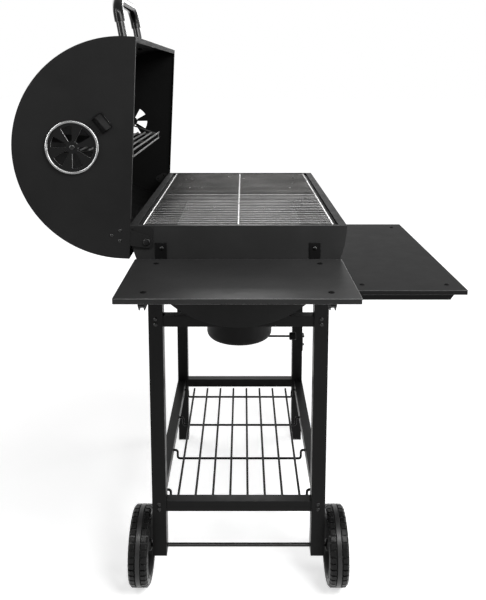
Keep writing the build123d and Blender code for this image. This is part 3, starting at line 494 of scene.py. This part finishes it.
def tyre_section(outer, inner, half, on_block):
    """(sideways, radius) points round a tyre's section, on a tread block or between two."""
    crown = outer if on_block else outer - TREAD_DEPTH
    shoulder = outer - (BLOCK_SHOULDER if on_block else GROOVE_SHOULDER)
    side = [
        (RIB_HALF, outer - 0.2 * MM),
        (GROOVE_HALF, outer - TREAD_DEPTH),
        (GROOVE_HALF + 1 * MM, crown - 0.3 * MM),
        (half * 0.76, crown - 0.8 * MM),
        (half - 0.8 * MM, shoulder),
        (half - 0.6 * MM, outer - 9 * MM),
        (half - 1.6 * MM, outer - 10 * MM),
        (half - 0.3 * MM, outer - 14 * MM),
        (half - 2.5 * MM, inner + 1 * MM),
        (half - 4.5 * MM, inner),
    ]
    return side + [(-y, radius) for y, radius in reversed(side)]


def make_tyre(node_name, hub_name):
    """A tyre with a rib round its middle, lighter as a painted sheen, and darker blocks beside it,
    seated on its hub.
    """
    low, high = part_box(node_name)
    hub_low, hub_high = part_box(hub_name)
    centre = middle_of(node_name)
    outer = (high.z - low.z) / 2 - TREAD_MARGIN
    inner = (hub_high.z - hub_low.z) / 2
    half = (high.y - low.y) / 2
    rings = []
    for block_angle in full_turn(TREAD_BLOCKS):
        for share, on_block in TREAD_STEPS:
            angle = block_angle + share * math.tau / TREAD_BLOCKS
            rings.append([
                round_axle(centre, y, radius, angle)
                for y, radius in tyre_section(outer, inner, half, on_block)
            ])
    mesh_data = bmesh.new()
    join_rings(mesh_data, rings, closed=True)
    tyre = stand_for(node_name, "treaded", mesh_data, 35)
    # painted sheen: all but the rib takes the darker rubber, leaving the rib lighter
    paint_some(tyre, "block_rubber", lambda face: abs(face.center.y - centre.y) > GROOVE_HALF)


# ---------------------------------------------------------------- wheel hubs
HUB_SPOKES = 6
HUB_STEPS = 72
AXLE_GAP = 0.1 * MM
# a window's half width in shares of the turn between spokes, and its bands counted from the boss
WINDOW_HALF_SHARE = 0.3
WINDOW_BANDS = (2, 3)
WEB_OFFSET = 4 * MM
RIB_THICKNESS_HALF = 1.3 * MM


def turn_ring(mesh_data, centre, section):
    """Adds a ring turned about the axle from (sideways, radius) points."""
    join_rings(mesh_data, [
        [round_axle(centre, y, radius, angle) for y, radius in section]
        for angle in full_turn(HUB_STEPS)
    ], closed=True)


def add_web(mesh_data, centre, rim, outward):
    """Adds a dished web of small blocks, with a window between each two spokes.

    Its (radius, half thickness) points run from the boss to the rim.
    """
    web = [
        (14.5 * MM, 6.2 * MM), (20 * MM, 5.6 * MM), (24 * MM, 4.7 * MM), (40 * MM, 3.2 * MM),
        (54 * MM, 2.3 * MM), (58 * MM, 2.9 * MM), (rim - 5 * MM, 3.8 * MM),
    ]
    spoke_turn = math.tau / HUB_SPOKES
    step_turn = math.tau / HUB_STEPS
    for start in full_turn(HUB_STEPS):
        from_spoke = (start + step_turn / 2) % spoke_turn
        in_window = abs(from_spoke - spoke_turn / 2) < spoke_turn * WINDOW_HALF_SHARE
        for band, (near, far) in enumerate(zip(web, web[1:])):
            if in_window and band in WINDOW_BANDS:
                continue
            end = start + step_turn
            corners = ((near, start), (near, end), (far, end), (far, start))
            outer_face, inner_face = [
                [
                    mesh_data.verts.new(
                        round_axle(centre, side * thick + outward * WEB_OFFSET, radius, angle)
                    )
                    for (radius, thick), angle in corners
                ]
                for side in (1, -1)
            ]
            mesh_data.faces.new(outer_face)
            mesh_data.faces.new(inner_face[::-1])
            for i in range(4):
                j = (i + 1) % 4
                mesh_data.faces.new((outer_face[j], outer_face[i], inner_face[i], inner_face[j]))


def weld_blocks(mesh_data):
    """Welds blocks that stand side by side, and takes out the faces between them."""
    bmesh.ops.remove_doubles(mesh_data, verts=mesh_data.verts, dist=WELD)
    sharing = {}
    for face in mesh_data.faces:
        sharing.setdefault(frozenset(face.verts), []).append(face)
    inside = [face for faces in sharing.values() if len(faces) > 1 for face in faces]
    bmesh.ops.delete(mesh_data, geom=inside, context="FACES_ONLY")


def make_hub(node_name, outward):
    """A moulded wheel centre: channel rim, boss, dished web with windows, and ribs."""
    low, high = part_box(node_name)
    axle_low, axle_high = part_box("axle")
    centre = middle_of(node_name)
    rim = (high.z - low.z) / 2
    half = (high.y - low.y) / 2
    bore = (axle_high.z - axle_low.z) / 2 + AXLE_GAP
    rim_section = [
        (-half + 1 * MM, rim - 0.05 * MM), (half - 1 * MM, rim - 0.05 * MM),
        (half - 0.4 * MM, rim - 1 * MM), (half - 0.4 * MM, rim - 3.6 * MM),
        (half - 2 * MM, rim - 4.6 * MM), (6 * MM, rim - 6.5 * MM),
        (-6 * MM, rim - 6.5 * MM), (-half + 2 * MM, rim - 4.6 * MM),
        (-half + 0.4 * MM, rim - 3.6 * MM), (-half + 0.4 * MM, rim - 1 * MM),
    ]
    boss_section = [
        (-half + 0.4 * MM, bore), (half - 0.4 * MM, bore),
        (half - 0.4 * MM, 10 * MM), (half - 2.4 * MM, 13 * MM),
        (5 * MM, 15 * MM), (-5 * MM, 15 * MM),
        (-half + 2.4 * MM, 13 * MM), (-half + 0.4 * MM, 10 * MM),
    ]
    mesh_data = bmesh.new()
    turn_ring(mesh_data, centre, rim_section)
    turn_ring(mesh_data, centre, boss_section)
    add_web(mesh_data, centre, rim, outward)
    weld_blocks(mesh_data)
    rib = [
        (2 * MM, 14 * MM), (2 * MM, rim - 5 * MM), (12 * MM, rim - 5.6 * MM),
        (9.5 * MM, 40 * MM), (16 * MM, 14 * MM),
    ]
    for angle in full_turn(HUB_SPOKES):
        across = Vector((-math.sin(angle), 0, math.cos(angle))) * RIB_THICKNESS_HALF
        loft(mesh_data, [
            [round_axle(centre, outward * y, radius, angle) + across * way for y, radius in rib]
            for way in (-1, 1)
        ])
    stand_for(node_name, "moulded", mesh_data, 40)


for place, outward in (("front", -1), ("back", 1)):
    make_tyre(f"tyre_{place}", f"hub_{place}")
    make_hub(f"hub_{place}", outward)


# ---------------------------------------------------------------- screws and rivets
HEAD_STEPS = 32
HEAD_RINGS = 7
DOME_FULLNESS = 0.93
# the cross cut in a screw's head, in shares of the head's radius and height
CROSS_LENGTH = 0.6
CROSS_HALF = 0.14
CROSS_DEPTH = 0.7
CROSS_TAPER = 0.6


def round_head(mesh_data, foot, normal, radius, height, stem, cross_turn=None):
    """A domed head that stands on foot along normal, with rings of (radius, depth) below it.

    cross_turn is the angle of a cross cut in its crown, or None for a plain head.
    """
    side = normal.orthogonal().normalized()
    side.rotate(Matrix.Rotation(cross_turn or 0.0, 3, normal))
    other = normal.cross(side)
    angles = full_turn(HEAD_STEPS)

    def crown(distance, angle):
        """A point on the dome, at a distance and angle from its top."""
        u, v = distance * math.cos(angle), distance * math.sin(angle)
        rise = height * math.sqrt(max(0.0, 1 - (distance / radius) ** 2 * DOME_FULLNESS))
        along, beside = max(abs(u), abs(v)) / radius, min(abs(u), abs(v)) / radius
        if cross_turn is not None and beside < CROSS_HALF and along < CROSS_LENGTH:
            rise -= CROSS_DEPTH * height * (1 - along / CROSS_LENGTH * CROSS_TAPER)
        return foot + side * u + other * v + normal * rise

    def ring(distance, depth):
        """A ring of points round the stem, at a depth below the foot."""
        return [
            foot - normal * depth + (side * math.cos(angle) + other * math.sin(angle)) * distance
            for angle in angles
        ]

    rings = [
        [crown(radius * number / HEAD_RINGS, angle) for angle in angles]
        for number in range(1, HEAD_RINGS + 1)
    ]
    rings += [ring(*place) for place in ((radius, 0.0), *stem)]
    loops = join_rings(mesh_data, rings, closed=False)
    top = mesh_data.verts.new(crown(0, 0))
    for k in range(HEAD_STEPS):
        mesh_data.faces.new((top, loops[0][k], loops[0][(k + 1) % HEAD_STEPS]))
    mesh_data.faces.new(loops[-1][::-1])


def outer_ends(node_name, axis):
    """(end, direction, length, radius) of each solid of a CAD node, outwards along an axis."""
    middle = (cad_low + cad_high) / 2
    for low, high in islands(node_name):
        centre, span = (low + high) / 2, high - low
        direction = -axis if (centre - middle).dot(axis) < 0 else axis
        length = span.dot(axis)
        radius = min(size for size, part in zip(span, axis) if not part) / 2
        yield centre + direction * length / 2, direction, length, radius


# widths are shares of the CAD solid's radius, and SCREW_TURN is in radians
SCREW_FLARE = 1.3
SCREW_NECK = 0.65
SCREW_SHANK = 0.43
SCREW_RISE = 2.2 * MM
TABLE_SHEET = 1.5 * MM
SCREW_TURN = 1.1
RIVET_SHANK = 0.5
SHANK_ROOM = 0.2 * MM


def make_screws(node_name):
    """Raised cross-head screws, sunk through a folded table, each turned its own way."""
    mesh_data = bmesh.new()
    for number, (top, direction, length, radius) in enumerate(outer_ends(node_name, Z)):
        stem = (
            (SCREW_NECK * radius, TABLE_SHEET),
            (SCREW_SHANK * radius, TABLE_SHEET),
            (SCREW_SHANK * radius, length),
        )
        round_head(
            mesh_data, top, direction, SCREW_FLARE * radius, SCREW_RISE, stem, number * SCREW_TURN
        )
    stand_for(node_name, "cross_heads", mesh_data, 25)


def make_rivets(node_name, height):
    """Domed heads along the barrel, on shanks where the CAD solid has room for one."""
    mesh_data = bmesh.new()
    for top, direction, length, radius in outer_ends(node_name, X):
        stem = ()
        if length > height + SHANK_ROOM:
            stem = ((RIVET_SHANK * radius, 0.0), (RIVET_SHANK * radius, length - height))
        round_head(mesh_data, top - direction * height, direction, radius, height, stem)
    stand_for(node_name, "domed", mesh_data, 50)


make_screws("side_screws")
make_screws("front_screws")
make_rivets("frame_bolts", 2.6 * MM)
make_rivets("lid_rivets", 2.0 * MM)
make_rivets("vent_pins", 2.6 * MM)


# ---------------------------------------------------------------- lid vents
RING_STEPS = 96
RING_WIDTH = 6.6 * MM
RING_WALL = 1.2 * MM
RING_LIP = 0.8 * MM
# (along, height) shares of a tab's ramp, ridge and facet, from the ring outwards
TAB_SECTION = [
    (0.0, 0.0), (0.0, 0.12), (0.06, 0.2), (0.34, 0.82), (0.4, 0.95), (0.46, 1.0), (0.52, 0.97),
    (0.6, 0.86), (0.86, 0.5), (0.95, 0.36), (1.0, 0.2), (1.0, 0.0),
]
# (share of its half width, height, inset) that round one edge of a tab
TAB_EDGE = [(-1.0, 0.72, 0.06), (-0.98, 0.86, 0.02), (-0.93, 0.96, 0.0), (-0.86, 1.0, 0.0)]


def make_vent_ring(end_name, outward):
    """A rolled, rounded trim ring round the vent's disc."""
    node_name = f"vent_ring_{end_name}"
    centre = middle_of(node_name)
    out = X * outward
    foot, crest = extent(node_name, out)
    outer = extent(node_name, Y)[1] - centre.y
    roll, rise = RING_WIDTH / 2, crest - foot - RING_WALL
    section = [(outer - 0.2 * MM, 0.0), (outer, RING_LIP)]
    for degrees in range(0, 181, 15):
        angle = math.radians(degrees)
        section.append((outer - roll + roll * math.cos(angle), RING_WALL + rise * math.sin(angle)))
    section += [(outer - RING_WIDTH, RING_LIP), (outer - RING_WIDTH + 0.4 * MM, 0.0)]
    base = Vector((0, centre.y, centre.z)) + out * foot
    mesh_data = bmesh.new()
    join_rings(mesh_data, [
        [
            base + out * height + radius * (Y * math.cos(turn) + Z * math.sin(turn))
            for radius, height in section
        ]
        for turn in full_turn(RING_STEPS)
    ], closed=True)
    stand_for(node_name, "rolled", mesh_data, 50)


def make_vent_tab(end_name, outward):
    """A finger tab: a ramp up from the ring to a ridge, and a facet down to a rounded end."""
    node_name = f"vent_tab_{end_name}"
    out = X * outward
    radial = middle_of(node_name) - middle_of(f"vent_ring_{end_name}")
    radial.x = 0
    radial.normalize()
    tangent = out.cross(radial)
    near, far = extent(node_name, radial)
    one_end, other_end = extent(node_name, tangent)
    foot, crest = extent(node_name, out)
    middle, half = (one_end + other_end) / 2, (other_end - one_end) / 2
    other_edge = [(-share, tall, inset) for share, tall, inset in reversed(TAB_EDGE)]
    mesh_data = bmesh.new()
    loft(mesh_data, [
        [
            radial * (near + (far - near) * (inset + along * (1 - 2 * inset)))
            + out * (foot + (crest - foot) * height * tall)
            + tangent * (middle + half * share)
            for along, height in TAB_SECTION
        ]
        for share, tall, inset in TAB_EDGE + other_edge
    ])
    stand_for(node_name, "wedge", mesh_data, 35)


for end_name, outward in OUTWARD.items():
    make_vent_ring(end_name, outward)
    make_vent_tab(end_name, outward)


# ---------------------------------------------------------------- floor and backdrop
FLOOR_HALF = 30.0
FLOOR_DROP = 0.4 * MM
WHITE = (1, 1, 1, 1)
# the floor glows more with distance, from round the object to where its shadow has ended
SHADOW_REACH = (0.8, 2.2)
FLOOR_GLOW = (0.64, 0.96)
AMBIENT = 0.13


def seen_directly(add):
    """1 for a camera, glossy or transmission ray, else 0."""
    path = add("ShaderNodeLightPath")
    first = add(
        "ShaderNodeMath",
        [(path.outputs["Is Camera Ray"], 0), (path.outputs["Is Glossy Ray"], 1)],
        operation="MAXIMUM",
    )
    second = add(
        "ShaderNodeMath",
        [(first.outputs[0], 0), (path.outputs["Is Transmission Ray"], 1)],
        operation="MAXIMUM",
    )
    return second.outputs[0]


def make_floor():
    """A pale floor that keeps the object's shadow and meets the white backdrop."""
    mesh = bpy.data.meshes.new("floor")
    corners = [(x * FLOOR_HALF, y * FLOOR_HALF, 0) for x, y in ((-1, -1), (1, -1), (1, 1), (-1, 1))]
    mesh.from_pydata(corners, [], [(0, 1, 2, 3)])
    floor = bpy.data.objects.new("floor", mesh)
    bpy.context.scene.collection.objects.link(floor)
    floor.location.z = cad_low.z - FLOOR_DROP
    made, shader, add = new_material("pale_floor")
    shader.inputs["Base Color"].default_value = (0.9, 0.9, 0.9, 1)
    shader.inputs["Roughness"].default_value = 0.9
    shader.inputs["Specular IOR Level"].default_value = 0.0
    shader.inputs["Emission Color"].default_value = WHITE
    place = add("ShaderNodeTexCoord").outputs["Object"]
    away = add("ShaderNodeVectorMath", [(place, 0)], operation="LENGTH").outputs["Value"]
    glow = remap(add, away, SHADOW_REACH, FLOOR_GLOW)
    strength = add(
        "ShaderNodeMath", [(seen_directly(add), 0), (glow, 1)], operation="MULTIPLY"
    ).outputs[0]
    made.node_tree.links.new(strength, shader.inputs["Emission Strength"])
    mesh.materials.append(made)


def make_world():
    """A white backdrop to look at, and a plain grey one to be lit by."""
    world = bpy.data.worlds.new("backdrop")
    world.use_nodes = True
    tree = world.node_tree
    add = node_adder(tree)
    strength = remap(add, seen_directly(add), (0.0, 1.0), (AMBIENT, 1.0))
    background = tree.nodes["Background"]
    background.inputs["Color"].default_value = WHITE
    tree.links.new(strength, background.inputs["Strength"])
    bpy.context.scene.world = world


make_floor()
make_world()


# ---------------------------------------------------------------- lights and camera
def aim(thing, direction):
    """Turns a lamp or a camera to look along a direction, upright."""
    thing.rotation_mode = "QUATERNION"
    thing.rotation_quaternion = direction.to_track_quat("-Z", "Y")


def soft_light(name, spot, target, size, watts, lights_all=True):
    """A soft box of (across, upright) size that faces target, or one for highlights alone."""
    light = bpy.data.lights.new(name, "AREA")
    light.shape = "RECTANGLE"
    light.size, light.size_y = size
    light.energy = watts
    lamp = bpy.data.objects.new(name, light)
    lamp.location = spot
    aim(lamp, Vector(target) - Vector(spot))
    lamp.visible_camera = False
    lamp.visible_diffuse = lights_all
    bpy.context.scene.collection.objects.link(lamp)


soft_light("key_box", (-1.35, -1.0, 2.0), (0, 0, 0.8), (1.0, 1.0), 38)
soft_light("back_box", (1.6, 1.9, 2.2), (0, 0, 0.7), (1.2, 1.2), 16)
soft_light("front_box", (0.9, -2.3, 1.5), (0, 0, 0.8), (1.2, 1.2), 22)
soft_light("rear_strip", (2.3, 0.0, 1.65), (-0.4, 0, 0.8), (0.5, 0.3), 5, lights_all=False)
soft_light("front_strip", (-1.9, 0.0, 2.6), (0, 0, 0.9), (1.6, 0.3), 30, lights_all=False)
soft_light("left_strip", (-1.1, 1.6, 1.6), (0, 0.1, 1.0), (0.3, 1.6), 30, lights_all=False)
soft_light("right_strip", (-0.9, -1.8, 1.3), (0, -0.1, 0.9), (0.3, 1.8), 30, lights_all=False)

LONG_SIDE = 600
FOCAL_PIXELS = 670
SENSOR_WIDTH = 36
LENS_SHIFT = -0.211
TILT = math.radians(8.42)
CAMERA_BACK = 1.754
CAMERA_ASIDE = 0.010
CAMERA_HEIGHT = 1.189


def make_camera():
    """The photographer's view: from beyond the wheels, along the barrel and slightly down."""
    data = bpy.data.cameras.new("camera")
    data.sensor_fit = "AUTO"
    data.sensor_width = SENSOR_WIDTH
    data.lens = SENSOR_WIDTH * FOCAL_PIXELS / LONG_SIDE
    data.shift_y = LENS_SHIFT
    data.clip_end = 100
    camera = bpy.data.objects.new("camera", data)
    barrel = middle_of("firebox_shell")
    camera.location = (barrel.x - CAMERA_BACK, barrel.y - CAMERA_ASIDE, CAMERA_HEIGHT)
    aim(camera, Vector((math.cos(TILT), 0, -math.sin(TILT))))
    bpy.context.scene.collection.objects.link(camera)
    bpy.context.scene.camera = camera


make_camera()
bpy.context.scene.view_settings.view_transform = "Standard"
